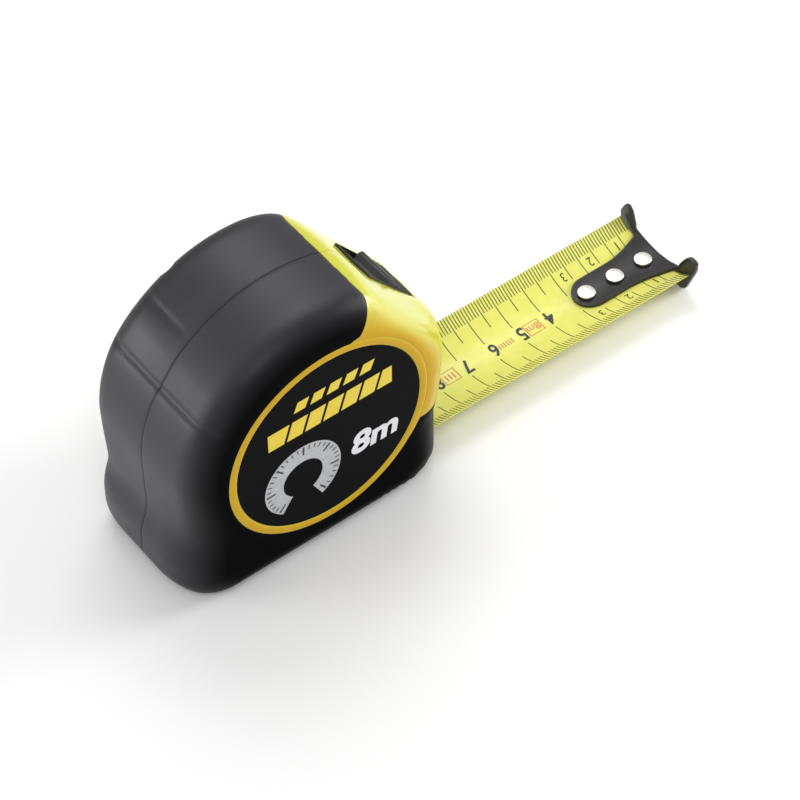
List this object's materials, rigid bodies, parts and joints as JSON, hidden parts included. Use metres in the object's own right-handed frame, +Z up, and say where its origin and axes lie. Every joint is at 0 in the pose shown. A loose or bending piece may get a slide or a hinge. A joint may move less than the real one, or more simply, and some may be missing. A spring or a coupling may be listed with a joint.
{
  "type": "tape measure",
  "caption": "Pocket tape measure: yellow case in a black rubber grip, printed steel blade pulled out with its hook, thumb lock, belt clip and spring reel.",
  "frame": {"origin": "on the base plane, under the drum axis, at mid-width", "axes": "+X runs out along the blade, +Z is up, +Y is the belt clip's side"},
  "size_m": [0.1799, 0.055, 0.0853],
  "materials": {
    "shell_yellow": "glossy moulded",
    "grip_rubber": "satin matte, fine texture",
    "bumper_rubber": "matte",
    "label_print": "glossy film",
    "blade_print": "satin coating with black print",
    "hook_steel": "satin black",
    "rivet_steel": "polished",
    "lock_black": "fine texture",
    "clip_steel": "satin",
    "screw_steel": "satin",
    "post_steel": "turned",
    "spring_steel": "blued",
    "drum_plastic": "moulded"
  },
  "bodies": {
    "case": {"case_right": "shell_yellow", "case_left": "shell_yellow", "grip_right": "grip_rubber", "grip_left": "grip_rubber", "mouth_bumper": "bumper_rubber", "case_screws": "screw_steel", "label_right": "label_print", "label_left": "label_print", "belt_clip": "clip_steel", "clip_screw": "screw_steel", "center_post": "post_steel", "drum_washers": "post_steel", "blade_lead": "blade_print"},
    "reel": {"drum": "drum_plastic", "drum_cover": "drum_plastic", "power_spring": "spring_steel", "blade_coil": "blade_print"},
    "blade": {"blade_tip": "blade_print", "hook_rivets": "rivet_steel"},
    "hook": {"end_hook": "hook_steel"},
    "lock": {"lock_button": "lock_black"},
    "brake": {"brake_shoe": "lock_black"}
  },
  "joints": [
    {"name": "drum_spin", "type": "hinge", "parent": "case", "child": "reel", "pos_m": [0, 0, 0.0425], "axis": [0, 1, 0], "range_deg": [-177, 156]},
    {"name": "blade_slide", "type": "slide", "parent": "case", "child": "blade", "axis": [1, 0, 0], "range_m": [-0.0881, 0.1], "deforming": ["blade_lead"]},
    {"name": "hook_play", "type": "slide", "parent": "blade", "child": "hook", "axis": [1, 0, 0], "range_m": [-0.0005, 0.0005]},
    {"name": "lock_slide", "type": "slide", "parent": "case", "child": "lock", "axis": [-0.6222, 0, 0.7829], "range_m": [0, 0.006]},
    {"name": "brake_lift", "type": "slide", "parent": "case", "child": "brake", "axis": [0, 0, 1], "range_m": [0, 0.0015]}
  ],
  "couplings": [
    {"joint": "blade_slide", "follows": "drum_spin", "m_per_rad": -0.032222},
    {"joint": "brake_lift", "follows": "lock_slide", "ratio": 0.25}
  ]
}
